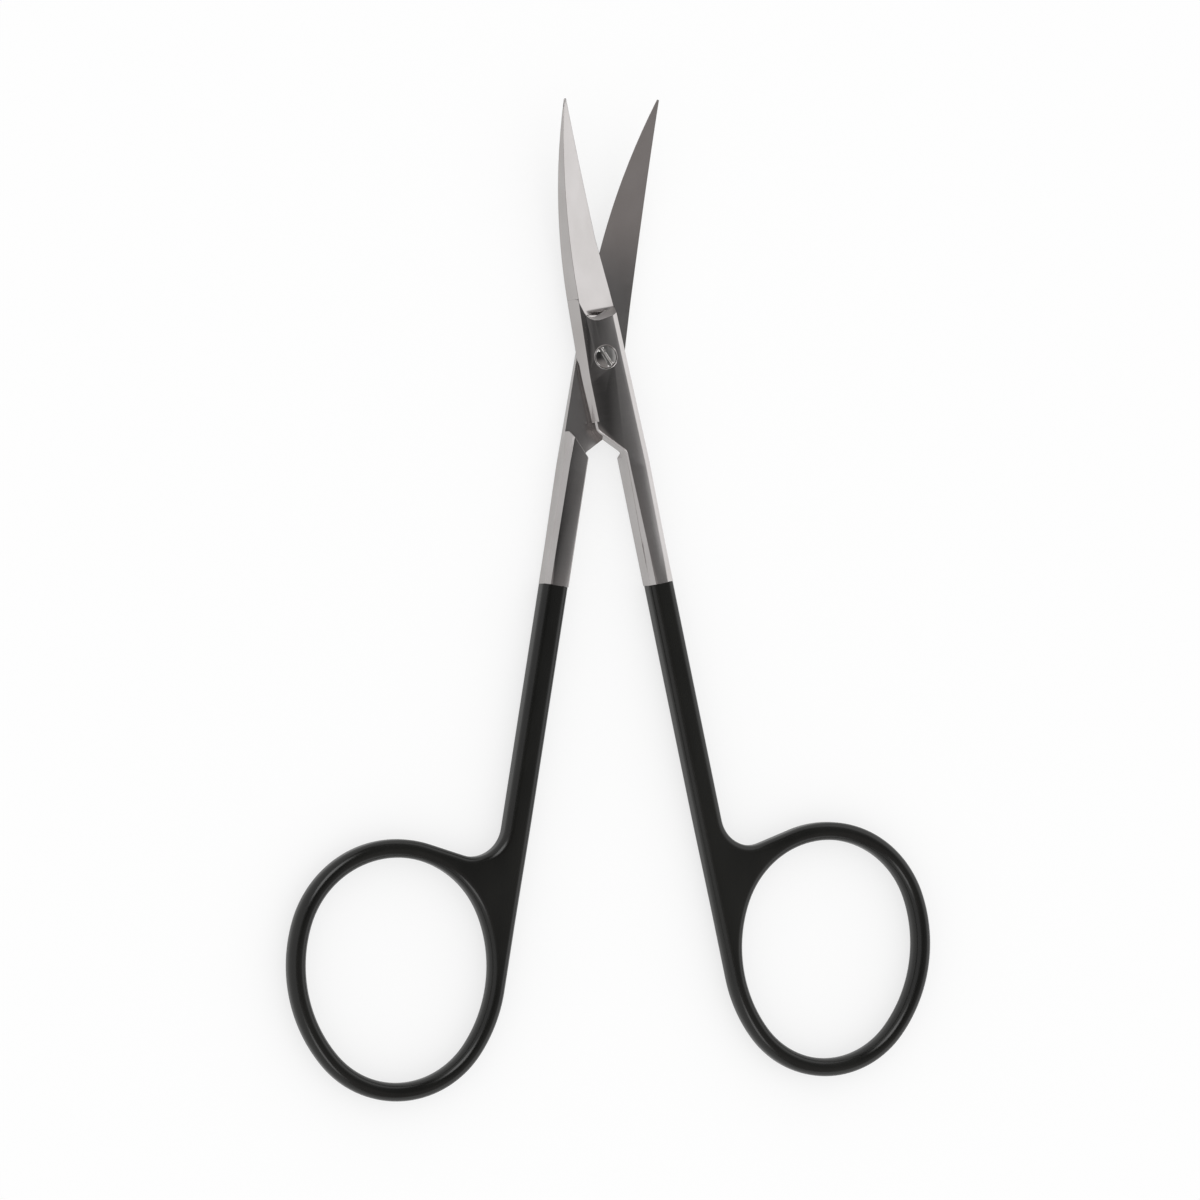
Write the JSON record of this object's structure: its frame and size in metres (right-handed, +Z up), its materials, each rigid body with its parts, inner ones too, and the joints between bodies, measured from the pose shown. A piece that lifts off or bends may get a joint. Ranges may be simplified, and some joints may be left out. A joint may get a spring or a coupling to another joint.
{
  "type": "dissecting scissors",
  "caption": "Fine dissecting scissors with slender curved pointed blades, a slotted pivot screw and black coated finger rings.",
  "frame": {"origin": "pivot axis at the underside of the joint, on the surface the scissors lie on", "axes": "+Y from the pivot towards the blade tips, +Z up along the pivot axis towards the screw head, +X towards the ring of the half that carries the screw head"},
  "size_m": [0.0768, 0.1106, 0.0076],
  "materials": {
    "front_steel": "satin",
    "rear_steel": "satin",
    "screw_steel": "polished",
    "front_coat": "gloss",
    "rear_coat": "gloss"
  },
  "bodies": {
    "rear": {"rear_half": "rear_steel", "rear_handle_coat": "rear_coat", "pivot_screw": "screw_steel"},
    "front": {"front_half": "front_steel", "front_handle_coat": "front_coat"}
  },
  "joints": [
    {"name": "blade_pivot", "type": "hinge", "parent": "rear", "child": "front", "pos_m": [0, 0, 0.00185], "axis": [0, 0, 1], "range_deg": [-20.8, 40]}
  ]
}
